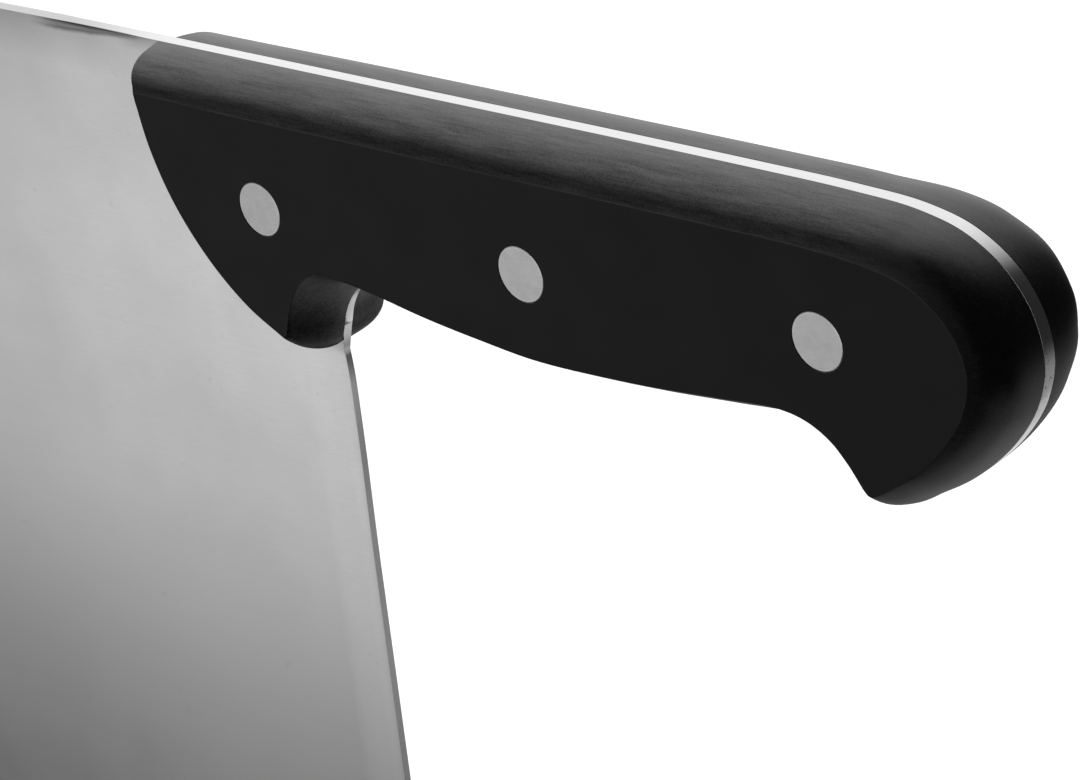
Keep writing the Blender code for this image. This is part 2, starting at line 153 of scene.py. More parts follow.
# Superellipse powers of the round-over, (across the depth, outwards), for the -Y and +Y sides.
SOFT = (2.5, 2.0)
HOOK = (2.0, 1.5)
CRISP = (1.45, 1.0)
STRAIGHT = (1.0, 1.0)
POWERS = {
    -1: {
        "top": SOFT,
        "butt": ((3.2, 2.0), (3.2, 2.0), (3.2, 2.0), (3.2, 2.0), (2.7, 2.0)),
        "choil": CRISP,
        "tip": (1.9, 1.4),
        "front": (1.6, 1.2),
    },
    1: {
        "top": (2.15, 1.9),
        "butt": ((3.5, 2.55), (4.4, 3.2), (3.9, 2.75), (2.9, 2.1), (2.3, 1.8)),
        "choil": (2.4, 1.7),
        "tip": (3.4, 2.4),
        "front": (2.4, 1.8),
    },
}

# ---------------------------------------------------------------- outline of the blade, (x, z)
SPINE_RUN = [
    (-252.0, -6.4), (-225.0, -3.8), (-190.0, -2.1), (-150.0, -0.9), (-115.0, -0.3),
    (-90.0, 0.0), (-77.0, 0.0),
]
HEEL_RUN = [(-48.25, -43.0), (-48.3, -47.0), (-49.8, -74.0), (-51.2, -98.0), (-53.1, -130.0)]
HEEL_CORNER = (-54.2, -148.5)
EDGE_RUN = [
    (-90.0, -152.6), (-130.0, -155.2), (-170.0, -156.0), (-210.0, -154.8), (-242.0, -151.8),
]
FRONT_CORNER_LOW = (-261.5, -149.2)
FRONT_CORNER_TOP = (-264.5, -8.0)
LOW_RADIUS = 9.0
TOP_RADIUS = 14.0
BEVEL_HEIGHT = 7.0
LIP = 0.06  # half the thickness left at the cutting edge
HEEL_OUT = (0.55, 0.30)  # the heel lies this much further out, below the choil and lower down

# Arris of the blade: (reach into the thickness, reach into the side, roll). The roll is how far
# the side turns in over its reach before it meets the edge.
ARRIS_SPINE = np.array((0.04, 0.04, 0.0))
ARRIS_EASED = np.array((0.20, 0.24, 0.0))
ARRIS_COVERED = np.array((0.05, 0.05, 0.0))
ARRIS_HEEL = np.array((0.03, 8.50, 0.42))
ARRIS_ANGLES = [math.radians(angle) for angle in (0, 4, 12, 24, 38, 52, 66, 78, 86, 90)]


# ---------------------------------------------------------------- curves
def mix(a, b, start, end, t):
    """a at start, b at end, linear in t."""
    return (end - t) / (end - start) * a + (t - start) / (end - start) * b


def smooth_run(points, step, bend=0.5):
    """Centripetal Catmull-Rom curve, sampled about every step and every bend (radians)."""
    pts = [np.array(p, float) for p in points]
    pts = [2 * pts[0] - pts[1]] + pts + [2 * pts[-1] - pts[-2]]
    curve = []
    for i in range(1, len(pts) - 2):
        window = pts[i - 1 : i + 3]
        knots = [0.0]
        for a, b in zip(window, window[1:]):
            knots.append(knots[-1] + math.sqrt(np.linalg.norm(b - a)))
        before, after = window[1] - window[0], window[3] - window[2]
        turn = math.atan2(after[1], after[0]) - math.atan2(before[1], before[0])
        turn = abs((turn + math.pi) % (2 * math.pi) - math.pi)
        span = np.linalg.norm(window[2] - window[1])
        count = max(2, math.ceil(span / step), math.ceil(turn / bend))
        for j in range(count):
            t = knots[1] + (knots[2] - knots[1]) * j / count
            chords = [mix(window[k], window[k + 1], knots[k], knots[k + 1], t) for k in range(3)]
            bends = [mix(chords[k], chords[k + 1], knots[k], knots[k + 2], t) for k in range(2)]
            curve.append(mix(*bends, knots[1], knots[2], t))
    curve.append(pts[-2])
    return curve


def travelled(points):
    """Distance along a line of points, at each point."""
    length = [0.0]
    for a, b in zip(points, points[1:]):
        length.append(length[-1] + float(np.linalg.norm(b - a)))
    return length


def ease(x):
    x = min(1.0, max(0.0, x))
    return x * x * (3 - 2 * x)


def keyed(keys, s):
    """Value at s, eased between (s, value) keys."""
    if s <= keys[0][0]:
        return np.array(keys[0][1], float)
    for (start, low), (end, high) in zip(keys, keys[1:]):
        if s <= end:
            k = ease((s - start) / (end - start))
            return np.array(low, float) * (1 - k) + np.array(high, float) * k
    return np.array(keys[-1][1], float)


def corner_arc(before, corner, after, radius, steps):
    start, tip, end = (np.array(p, float) for p in (before, corner, after))
    to_start = (start - tip) / np.linalg.norm(start - tip)
    to_end = (end - tip) / np.linalg.norm(end - tip)
    half = math.acos(float(np.clip(to_start @ to_end, -1, 1))) / 2
    bisector = (to_start + to_end) / np.linalg.norm(to_start + to_end)
    centre = tip + bisector * radius / math.sin(half)
    arc_start = tip + to_start * radius / math.tan(half)
    arc_end = tip + to_end * radius / math.tan(half)
    first = math.atan2(*(arc_start - centre)[::-1])
    sweep = math.atan2(*(arc_end - centre)[::-1]) - first
    sweep = (sweep + math.pi) % (2 * math.pi) - math.pi
    angles = [first + sweep * k / steps for k in range(steps + 1)]
    return [
        np.array((centre[0] + radius * math.cos(a), centre[1] + radius * math.sin(a)))
        for a in angles
    ]


# ---------------------------------------------------------------- rim of a scale, computed
def rim_stations(side, proud):
    """Stations round a scale: (face point, tang point, powers, corner rise, set-back)."""
    loop = TOP_RUN + BUTT_RUN + HOOK_BACK_RUN + HOOK_FRONT_RUN + GRIP_RUN + CHOIL_RUN + FRONT_RUN
    curve = smooth_run([face + tang for face, tang in loop + [TOP_RUN[0]]], RIM_STEP, RIM_BEND)
    length = travelled(curve)
    total = length[-1]

    def at(row):
        goal = np.array(row[0] + row[1])
        return length[min(range(len(curve) - 1), key=lambda k: np.linalg.norm(curve[k] - goal))]

    powers = POWERS[side]
    power_keys = [(0, powers["top"]), (at(TOP_RUN[2]) * 0.8, SOFT), (at(TOP_RUN[-1]), SOFT)]
    power_keys += [(at(row), value) for row, value in zip(BUTT_RUN[1:], powers["butt"])]
    power_keys += [
        (at(HOOK_BACK_RUN[2]), HOOK),
        (at(HOOK_FRONT_RUN[0]), CRISP),
        (at(GRIP_RUN[5]), CRISP),
        (at(CHOIL_RUN[0]), powers["choil"]),
        (at(CHOIL_RUN[3]), powers["choil"]),
        (at(CHOIL_RUN[6]), powers["tip"]),
        (at(FRONT_RUN[0]), powers["front"]),
        (at(FRONT_RUN[2]), STRAIGHT),
        (total, STRAIGHT),
    ]
    wall_keys = [
        (0, 1.0), (at(TOP_RUN[1]), 0.0), (at(FRONT_RUN[1]), 0.0), (at(FRONT_RUN[3]), 1.0),
        (total, 1.0),
    ]
    overhang_keys = [
        (at(CHOIL_RUN[0]), 0.0), (at(CHOIL_RUN[2]), CHOIL_OVERHANG),
        (at(CHOIL_RUN[5]), CHOIL_OVERHANG), (at(FRONT_RUN[0]), 0.0),
    ]
    stations = []
    for point, s in zip(curve[:-1], length):
        rise = ease(1 - (total - s) / CORNER_RUN)
        power = keyed(power_keys, s) if rise == 0 else np.array(powers["top"])
        set_back = RIGHT_SET_BACK * float(keyed(wall_keys, s)) if side > 0 else 0.0
        if side < 0 and proud:
            point = point + np.array((0.0, 0.0, float(keyed(overhang_keys, s)), 0.0))
        stations.append((point[:2], point[2:], power, CORNER_RISE * rise, set_back))
    return stations


def border_crease(face):
    """How sharply the round-over leaves the flat face: gently along the top, clearly at the butt."""
    butt = ease((face[0] - 58.0) / 10.0)
    top = ease((face[1] + 10.0) / 4.0) * ease((face[0] + 66.0) / 8.0)
    hook = ease((-30.0 - face[1]) / 4.0) * ease((face[0] - 54.0) / 3.0)
    return max(0.20 * butt, 0.16 * hook, 0.07 * top)


def rim_rows(steps, side, proud=True):
    """Rows of (x, z, depth) from the flat face's border (depth 0) to the tang (depth 1)."""
    stations = rim_stations(side, proud)
    # The front wall near the top, as x and lean over z; the last 120 stations cover it.
    front = sorted(
        (face[1], face[0], tang[0] - face[0]) for face, tang, *_ in stations[-120:] if face[0] < -62
    )
    front_z, front_x, front_lean = (list(column) for column in zip(*front))
    angles = [0.0, 0.02] + [0.5 * math.pi * (j + 0.5) / steps for j in range(steps)]
    angles.append(0.5 * math.pi)
    rows = []
    for face, tang, (depth_power, out_power), rise, set_back in stations:
        row = []
        crease = border_crease(face)
        for j, angle in enumerate(angles):
            depth = 1 - math.cos(angle) ** (2 / depth_power) if j < len(angles) - 1 else 1.0
            out = math.sin(angle) ** (2 / out_power)
            depth += crease * out * (1 - out) ** 3
            if rise > 0:
                z = face[1] + rise * out
                x = float(np.interp(z, front_z, front_x))
                x += depth * float(np.interp(z, front_z, front_lean))
            elif face[0] == TOP_RUN[0][0][0]:
                z = face[1] + (tang[1] - face[1]) * out
                x = face[0] + (tang[0] - face[0]) * depth
            else:
                x, z = face + (tang - face) * out
            row.append((x + set_back, z, depth))
        rows.append(row)
    return rows


# ---------------------------------------------------------------- mesh helpers
def place(x, y, z):
    """World point of a datum point in millimetres."""
    return Vector((DATUM.x + x * MM, y * MM, DATUM.z + z * MM))


def new_verts(bm, points, y):
    """Vertices at (x, z) points, all at the same y."""
    return [bm.verts.new(place(x, y, z)) for x, z in points]


def join_rings(bm, a, b):
    for k in range(len(a)):
        n = (k + 1) % len(a)
        bm.faces.new((a[k], a[n], b[n], b[k]))


def fill(bm, loops, loop_verts, keep):
    """Triangulates the flat region between closed (x, z) loops, where keep(x, z) holds."""
    points, edges = [], []
    for loop in loops:
        first = len(points)
        points += [Vector((p[0], p[1])) for p in loop]
        edges += [(first + k, first + (k + 1) % len(loop)) for k in range(len(loop))]
    verts, _, faces, origin, _, _ = delaunay_2d_cdt(points, edges, [], 1, 1e-6, True)
    made = []
    for face in faces:
        middle_x = sum(verts[v][0] for v in face) / len(face)
        middle_z = sum(verts[v][1] for v in face) / len(face)
        if keep(middle_x, middle_z):
            corners = [loop_verts[origin[v][0]] for v in face]
            if len(set(corners)) == len(corners):
                made.append(bm.faces.new(corners))
    return made


def circle_points(x, z, radius, steps):
    angles = [2 * math.pi * k / steps for k in range(steps)]
    return [(x + radius * math.cos(a), z + radius * math.sin(a)) for a in angles]


def inside(polygon, hole_radius=0.0):
    """Test for (x, z) lying in a closed polygon and outside the rivets' holes."""
    px = np.array([p[0] for p in polygon])
    pz = np.array([p[1] for p in polygon])
    next_x, next_z = np.roll(px, -1), np.roll(pz, -1)
    reach = (hole_radius * 0.999) ** 2

    def test(x, z):
        if any((x - rx) ** 2 + (z - rz) ** 2 < reach for _, rx, rz in RIVETS):
            return False
        cross = (pz > z) != (next_z > z)
        with np.errstate(divide="ignore", invalid="ignore"):
            cross_x = px + (z - pz) * (next_x - px) / (next_z - pz)
        return bool(np.sum(cross & (x < cross_x)) % 2)

    return test


def finish_mesh(name, bm, flat_faces, sharp_angle=30, ground_faces=()):
    """Object from bm. The flat and the ground faces get sharp borders, to shade as planes."""
    group = {face: 1 for face in flat_faces}
    group.update({face: 2 for face in ground_faces})
    bmesh.ops.recalc_face_normals(bm, faces=bm.faces)
    for face in bm.faces:
        face.smooth = True
    for edge in bm.edges:
        if len(edge.link_faces) == 2:
            a, b = edge.link_faces
            bent = a.normal.angle(b.normal, 0.0) > math.radians(sharp_angle)
            if group.get(a, 0) != group.get(b, 0) or bent:
                edge.smooth = False
    mesh = bpy.data.meshes.new(name)
    bm.to_mesh(mesh)
    bm.free()
    obj = bpy.data.objects.new(name, mesh)
    bpy.context.scene.collection.objects.link(obj)
    return obj


# ---------------------------------------------------------------- handle scales
def rounded_row(row, side):
    """Points of one station from the flat face to the tang, the face's border softened."""
    depth_span = BLADE_HALF + SEAM - HANDLE_HALF
    pts = [np.array((x, side * (HANDLE_HALF + depth_span * depth), z)) for x, z, depth in row]
    border = pts[0]
    travel = travelled(pts)
    after = next(k for k, t in enumerate(travel) if t > SOFT_EDGE * 1.15)
    k = (SOFT_EDGE - travel[after - 1]) / (travel[after] - travel[after - 1])
    wall = pts[after - 1] + (pts[after] - pts[after - 1]) * k
    in_plane = np.array((pts[after][0] - border[0], 0.0, pts[after][2] - border[2]))
    if np.linalg.norm(in_plane) < 1e-4:
        in_plane = np.array((pts[-1][0] - border[0], 0.0, pts[-1][2] - border[2]))
    start = border - SOFT_EDGE * in_plane / np.linalg.norm(in_plane)
    curve = [(1 - t) ** 2 * start + 2 * t * (1 - t) * border + t * t * wall for t in SOFT_PARTS]
    return curve + pts[after:]


def scale_object(name, side):
    rows = [rounded_row(row, side) for row in rim_rows(26, side)]
    # Every station gets the same number of points: surplus ones next to the border are dropped.
    width = min(len(row) for row in rows)
    soft = len(SOFT_PARTS)
    rows = [row[:soft] + row[len(row) - (width - soft):] for row in rows]
    bm = bmesh.new()
    rings = [[bm.verts.new(place(*p)) for p in row] for row in rows]
    # The inner edge at the tang is eased by a hair.
    inner_loop, inner_verts = [], []
    for ring, row in zip(rings, rows):
        last = row[-1]
        inward = np.array((last[0] - row[0][0], 0.0, last[2] - row[0][2]))
        inward = INNER_EASE * inward / max(1e-6, float(np.linalg.norm(inward)))
        ring[-1].co = place(last[0], side * (BLADE_HALF + SEAM + INNER_EASE), last[2])
        inner_loop.append((last[0] - inward[0], last[2] - inward[2]))
        inner_verts += new_verts(bm, inner_loop[-1:], side * (BLADE_HALF + SEAM))
    for i in range(len(rings)):
        n = (i + 1) % len(rings)
        a, b = rings[i], rings[n]
        for j in range(len(a) - 1):
            bm.faces.new((a[j], b[j], b[j + 1], a[j + 1]))
        bm.faces.new((a[-1], b[-1], inner_verts[n], inner_verts[i]))
    # Outer and inner flats, each with a hole for every rivet, joined by a stepped bore.
    steps = 72
    head_hole = HEAD_R + SEAM
    shoulder = HANDLE_HALF - HEAD_THICK - 0.05
    levels = [  # (radius, distance from the middle plane)
        (head_hole + 0.05, HANDLE_HALF),
        (head_hole, HANDLE_HALF - 0.06),
        (head_hole, shoulder),
        (SHANK_HOLE_R, shoulder),
        (SHANK_HOLE_R, BLADE_HALF + SEAM),
    ]
    outer_loops, inner_loops = [[(row[0][0], row[0][2]) for row in rows]], [inner_loop]
    outer_verts = [ring[0] for ring in rings]
    for _, x, z in RIVETS:
        circles = [circle_points(x, z, radius, steps) for radius, _ in levels]
        bore = [new_verts(bm, ring, side * y) for ring, (_, y) in zip(circles, levels)]
        for a, b in zip(bore, bore[1:]):
            join_rings(bm, a, b)
        outer_loops.append(circles[0])
        inner_loops.append(circles[-1])
        outer_verts += bore[0]
        inner_verts += bore[-1]
    flats = fill(bm, outer_loops, outer_verts, inside(outer_loops[0], levels[0][0]))
    flats += fill(bm, inner_loops, inner_verts, inside(inner_loop, SHANK_HOLE_R))
    return finish_mesh(name, bm, flats)


# ---------------------------------------------------------------- blade
def edge_height(x, edge):
    """Height of the cutting edge's curve at x, carried on straight past its front end."""
    if x < edge[-1][0]:
        slope = (edge[-1][1] - edge[-2][1]) / (edge[-1][0] - edge[-2][0])
        return edge[-1][1] + slope * (x - edge[-1][0])
    return float(np.interp(x, [p[0] for p in edge][::-1], [p[1] for p in edge][::-1]))


def bevel_rise(point, edge):
    """Height above the cutting edge, 1 at the top of the bevel."""
    return (point[1] - edge_height(point[0], edge)) / BEVEL_HEIGHT


def arris_at(x, z):
    """Arris at an outline point."""
    # The spine is nearly crisp, and eased a little just in front of the handle.
    eased = ease((-78.5 - x) / 4.0) * ease((x + 99.0) / 6.0)
    spine = ARRIS_SPINE * (1 - eased) + ARRIS_EASED * eased
    if z < -36.5 and -60.0 < x < -40.0:
        return ARRIS_COVERED + (ARRIS_HEEL - ARRIS_COVERED) * ease((-37.0 - z) / 7.0)
    if x < -60.0 and z > -3.0:
        return ARRIS_COVERED + (spine - ARRIS_COVERED) * ease((-73.5 - x) / 3.0)
    if x < -80.0:
        return spine
    return ARRIS_COVERED


def heel_shifted(point):
    z = point[1]
    shift = HEEL_OUT[0] * ease((-35.0 - z) / 13.0)
    shift -= (HEEL_OUT[0] - HEEL_OUT[1]) * ease((-55.0 - z) / 25.0)
    return point + np.array((shift, 0.0))


def blade_outline():
    """From the front end of the cutting edge over the spine and the tang to the heel corner."""
    tang = [np.array((row[-1][0], row[-1][1])) for row in rim_rows(4, -1, False)]
    last = next(
        k for k, p in enumerate(tang) if k > len(tang) // 2 and p[0] < -47.2 and p[1] < -39.6
    )
    tang = [heel_shifted(p) if p[0] < -40.0 else p for p in tang[: last + 1]]
    heel = [heel_shifted(p) for p in smooth_run(HEEL_RUN, 1.2)]
    heel += [np.array(HEEL_CORNER) * t + heel[-1] * (1 - t) for t in np.linspace(0.1, 1.0, 10)]
    low = corner_arc(FRONT_CORNER_TOP, FRONT_CORNER_LOW, EDGE_RUN[-1], LOW_RADIUS, 24)
    top = corner_arc(SPINE_RUN[0], FRONT_CORNER_TOP, FRONT_CORNER_LOW, TOP_RADIUS, 28)
    front = [top[-1] * (1 - t) + low[0] * t for t in np.linspace(0, 1, 24)[1:-1]]
    spine = smooth_run(SPINE_RUN, 1.5)
    path = low[::-1] + front[::-1] + top[::-1] + spine[1:] + tang + heel
    return [p for k, p in enumerate(path) if k == 0 or np.linalg.norm(p - path[k - 1]) > 0.05]


def side_point(row):
    """Where the arris of a row meets the side."""
    point, inward, _, into_side, _ = row
    return point + inward * into_side


def arris_rows(path, edge):
    """Rows of [outline point, inward direction, into thickness, into side, roll]."""
    rows = []
    for k, point in enumerate(path):
        before, after = path[max(0, k - 1)], path[min(len(path) - 1, k + 1)]
        along = (after - before) / np.linalg.norm(after - before)
        inward = np.array((along[1], -along[0]))
        fade = min(1.0, max(0.0, bevel_rise(point, edge)))
        if k in (0, len(path) - 1):
            fade = 0.0
        rows.append([point, inward, *(reach * fade for reach in arris_at(*point))])
    # A row exactly where the top of the bevel meets the outline, at the front and at the heel.
    for start, step in ((0, 1), (len(rows) - 1, -1)):
        k = start
        while bevel_rise(side_point(rows[k]), edge) < 1.0:
            k += step
        below, above = rows[k - step], rows[k]
        rise_below, rise_above = (bevel_rise(side_point(row), edge) for row in (below, above))
        t = (1.0 - rise_below) / (rise_above - rise_below)
        mixed = [u * (1 - t) + v * t for u, v in zip(below, above)]
        rows.insert(k if step > 0 else k + 1, mixed)
    return rows


def blade_object(name):
    edge = smooth_run([HEEL_CORNER] + EDGE_RUN, 2.5)
    rows = arris_rows(blade_outline(), edge)
    bm = bmesh.new()
    rings, face_line, marks = [], [], []
    for k, row in enumerate(rows):
        point, inward, into_thickness, into_side, roll = row
        face_point = side_point(row)
        rise = bevel_rise(face_point, edge)
        half = LIP + (BLADE_HALF - LIP) * min(1.0, max(0.0, rise))
        if k in (0, len(rows) - 1):
            half = LIP
        if abs(rise - 1.0) < 2e-3:
            marks.append(k)
        into_thickness = min(into_thickness, 0.85 * half)
        ring = []
        for side in (-1, 1):
            points = []
            for angle in ARRIS_ANGLES:
                x, z = point + inward * into_side * (1 - math.sin(angle))
                drop = into_thickness * (1 - math.cos(angle))
                drop += min(roll, 0.5 * half) * math.sin(angle) ** 2
                points.append(bm.verts.new(place(x, side * (half - drop), z)))
            ring.append(points)
        rings.append(ring)
        face_line.append(face_point)
    for ring, after in zip(rings, rings[1:]):
        for a, b in zip(ring, after):
            for j in range(len(ARRIS_ANGLES) - 1):
                bm.faces.new((a[j], a[j + 1], b[j + 1], b[j]))
        bm.faces.new((ring[0][-1], ring[1][-1], after[1][-1], after[0][-1]))
    # The line along the top of the bevel, from the heel to the front.
    first, second = min(marks), max(marks)
    front_x, heel_x = face_line[first][0] + 1.0, face_line[second][0] - 1.0
    bevel_line = [
        (p[0], edge_height(p[0], edge) + BEVEL_HEIGHT) for p in edge[1:] if front_x < p[0] < heel_x
    ]
    flats, bevels, lips, holes = [], [], [], []
    for index, side in enumerate((-1, 1)):
        ring_verts = [ring[index][0] for ring in rings]
        bevel_verts = new_verts(bm, bevel_line, side * BLADE_HALF)
        lip_verts = new_verts(bm, edge[1:], side * LIP)
        lips.append([ring_verts[-1]] + lip_verts + [ring_verts[0]])
        # The flat: outline above the bevel, back along the bevel line, and the rivet holes.
        loops = [[tuple(p) for p in face_line[first : second + 1]] + bevel_line]
        verts = ring_verts[first : second + 1] + bevel_verts
        side_holes = []
        for _, x, z in RIVETS:
            loops.append(circle_points(x, z, SHANK_HOLE_R, 48))
            side_holes.append(new_verts(bm, loops[-1], side * BLADE_HALF))
            verts += side_holes[-1]
        holes.append(side_holes)
        flats += fill(bm, loops, verts, inside(loops[0], SHANK_HOLE_R))
        # The bevel: the heel's end, the cutting edge, the front corner and the bevel line.
        loop = face_line[second:] + edge[1:] + face_line[: first + 1] + bevel_line[::-1]
        verts = ring_verts[second:] + lip_verts + ring_verts[: first + 1] + bevel_verts[::-1]
        bevels += fill(bm, [loop], verts, inside(loop))
    left, right = lips
    for k in range(len(left) - 1):
        bm.faces.new((left[k], left[k + 1], right[k + 1], right[k]))
    for left_hole, right_hole in zip(*holes):
        join_rings(bm, left_hole, right_hole)
    bmesh.ops.remove_doubles(bm, verts=bm.verts, dist=1e-8)
    flats = [face for face in flats if face.is_valid]
    bevels = [face for face in bevels if face.is_valid]
    return finish_mesh(name, bm, flats, 25, bevels)


# ---------------------------------------------------------------- rivets
def turned_object(name, x, z, profile, steps=96):
    """Solid turned about the Y axis from (radius, y) points; the ends lie on the axis."""
    bm = bmesh.new()
    rings = []
    for radius, y in profile:
        points = [(x, z)] if radius == 0 else circle_points(x, z, radius, steps)
        rings.append(new_verts(bm, points, y))
    flats = []
    for a, b in zip(rings, rings[1:]):
        for k in range(steps):
            n = (k + 1) % steps
            if len(a) == 1:
                flats.append(bm.faces.new((a[0], b[k], b[n])))
            elif len(b) == 1:
                bm.faces.new((a[k], b[0], a[n]))
            else:
                bm.faces.new((a[k], b[k], b[n], a[n]))
    return finish_mesh(name, bm, flats, 40)


def rivet_objects(name, x, z):
    """The tube, with its head on the left, and the pin inside it, with its head on the right."""
    border = [
        (HEAD_R - HEAD_RIM + HEAD_RIM * math.sin(t), HEAD_RIM * 0.45 * (1 - math.cos(t)))
        for t in (0.0, 0.3, 0.6, 0.9, 1.2, math.pi / 2)
    ]
    tube_end, bore_end, pin_end = 5.6, -6.4, -5.6
    tube = [(0, -HANDLE_HALF)] + [(r, -HANDLE_HALF + depth) for r, depth in border] + [
        (HEAD_R, -HANDLE_HALF + HEAD_THICK), (TUBE_R, -HANDLE_HALF + HEAD_THICK),
        (TUBE_R, tube_end - 0.1), (TUBE_R - 0.1, tube_end),
        (BORE_R, tube_end), (BORE_R, bore_end), (0, bore_end),
    ]
    pin = [(0, HANDLE_HALF)] + [(r, HANDLE_HALF - depth) for r, depth in border] + [
        (HEAD_R, HANDLE_HALF - HEAD_THICK), (PIN_R, HANDLE_HALF - HEAD_THICK),
        (PIN_R, pin_end + 0.5), (PIN_R - 0.5, pin_end), (0, pin_end),
    ]
    return (
        turned_object(f"{name}_rivet_tube_visual", x, z, tube),
        turned_object(f"{name}_rivet_pin_visual", x, z, pin),
    )


# ---------------------------------------------------------------- node helper
class Nodes:
    """Builds a node tree. Every source may be a number, a vector or a socket."""

    def __init__(self, tree):
        self.tree = tree
        self.x = -1200

    def feed(self, target, source):
        if isinstance(source, bpy.types.NodeSocket):
            self.tree.links.new(source, target)
        else:
            target.default_value = source

    def new(self, kind, *sources, **values):
        """Node with settings and inputs by name, and sources for its first inputs in order."""
        node = self.tree.nodes.new(kind)
        node.location = (self.x, 0)
        self.x += 40
        for key, value in values.items():
            if hasattr(node, key):
                setattr(node, key, value)
            else:
                self.feed(node.inputs[key], value)
        for index, source in enumerate(sources):
            self.feed(node.inputs[index], source)
        return node

    def math(self, operation, first, *others):
        for other in others:
            first = self.new("ShaderNodeMath", first, other, operation=operation).outputs[0]
        return first

    def add(self, *values):
        return self.math("ADD", *values)

    def subtract(self, *values):
        return self.math("SUBTRACT", *values)

    def multiply(self, *values):
        return self.math("MULTIPLY", *values)

    def vector_math(self, operation, *vectors):
        return self.new("ShaderNodeVectorMath", *vectors, operation=operation).outputs

    def scaled(self, vector, by):
        return self.vector_math("MULTIPLY", vector, by)[0]

    def moved(self, vector, by):
        return self.vector_math("ADD", vector, by)[0]

    def noise(self, vector, scale=1.0, detail=2.0, roughness=0.5):
        node = self.new(
            "ShaderNodeTexNoise",
            noise_dimensions="3D", Scale=scale, Detail=detail, Roughness=roughness, Vector=vector,
        )
        return node.outputs["Fac"]

    def remap(self, source, between=(0.3, 0.7), to=(0.0, 1.0), kind="LINEAR"):
        node = self.new("ShaderNodeMapRange", interpolation_type=kind, clamp=True, Value=source)
        for key, value in zip(("From Min", "From Max", "To Min", "To Max"), (*between, *to)):
            node.inputs[key].default_value = value
        return node.outputs["Result"]

    def fade(self, source, between, to=(0.0, 1.0)):
        return self.remap(source, between, to, kind="SMOOTHSTEP")

    def swing(self, source, by, between=(0.3, 0.7)):
        return self.remap(source, between, to=(-by, by))

    def grey(self, source):
        node = self.new("ShaderNodeCombineColor", Red=source, Green=source, Blue=source)
        return node.outputs["Color"]

    def split(self, vector):
        return self.new("ShaderNodeSeparateXYZ", vector).outputs

    def coordinate(self, kind):
        return self.new("ShaderNodeTexCoord").outputs[kind]

    def bump(self, height, strength, distance):
        node = self.new("ShaderNodeBump", Strength=strength, Distance=distance, Height=height)
        return node.outputs[0]

    def position(self):
        """Position in the handle's datum, in millimetres."""
        shifted = self.vector_math("SUBTRACT", self.coordinate("Object"), DATUM)[0]
        return self.scaled(shifted, by=(1000, 1000, 1000))


def new_material(name, build):
    """Material whose shader inputs are what build(nodes) returns."""
    material = bpy.data.materials.new(name)
    material.use_nodes = True
    nodes = Nodes(material.node_tree)
    shader = material.node_tree.nodes["Principled BSDF"]
    for key, source in build(nodes).items():
        nodes.feed(shader.inputs[key], source)
    return material


# ---------------------------------------------------------------- materials
def side_stain_and_painted_shade(nodes, where):
    """Brightness of the blade's side: mostly old stain along the spine, with painted shade towards
    the cutting edge.
    """
    x, _, z = nodes.split(where)
    # Painted shade: darker towards the cutting edge and the front, standing in for the fading
    # reflection of the side.
    low = nodes.multiply(
        nodes.fade(z, between=(-70.0, -130.0), to=(0.0, 0.22)),
        nodes.fade(x, between=(-85.0, -140.0), to=(0.5, 1.0)),
    )
    # Height with a slight waver along the blade, and the same measured from a leaning line.
    waver = nodes.noise(nodes.scaled(where, by=(0.25, 0.0, 0.0)))
    wander = nodes.add(z, nodes.swing(waver, by=0.10))
    lean = nodes.subtract(wander, nodes.remap(x, between=(-97.0, -77.0), to=(0.0, 1.16)))
    # The haze: patches of (fall-off over z, strength, fall-off over x, its range).
    patches = (
        ((-7.5, 0.0), 0.29, (-84.0, -93.0), (0.5, 1.0)),
        ((-20.0, 0.0), 0.10, (-96.0, -112.0), (0.0, 1.0)),
        ((-2.4, -0.2), 0.26, (-86.0, -80.0), (0.0, 1.0)),
    )
    haze = nodes.add(*(
        nodes.multiply(
            nodes.remap(z, between=over_z, to=(0.0, strength)),
            nodes.fade(x, between=over_x, to=share),
        )
        for over_z, strength, over_x, share in patches
    ))
    # A smear and two dark streaks in front of the handle.
    along = nodes.multiply(
        nodes.fade(x, between=(-105.0, -97.0)), nodes.fade(x, between=(-76.0, -86.0))
    )
    smear = nodes.multiply(nodes.fade(lean, between=(-1.95, -1.30), to=(0.0, 0.50)), along)
    upper_streak = nodes.multiply(
        nodes.fade(wander, between=(-0.62, -0.28), to=(0.0, 0.56)),
        nodes.multiply(along, nodes.fade(x, between=(-78.0, -93.0), to=(0.2, 1.0))),
    )
    leaning_streak = nodes.multiply(
        nodes.fade(lean, between=(-1.52, -1.22), to=(0.0, 0.30)),
        nodes.fade(lean, between=(-0.90, -1.18)),
        along,
    )
    marks = (haze, smear, upper_streak, leaning_streak, low)
    return nodes.multiply(*(nodes.subtract(1.0, mark) for mark in marks))


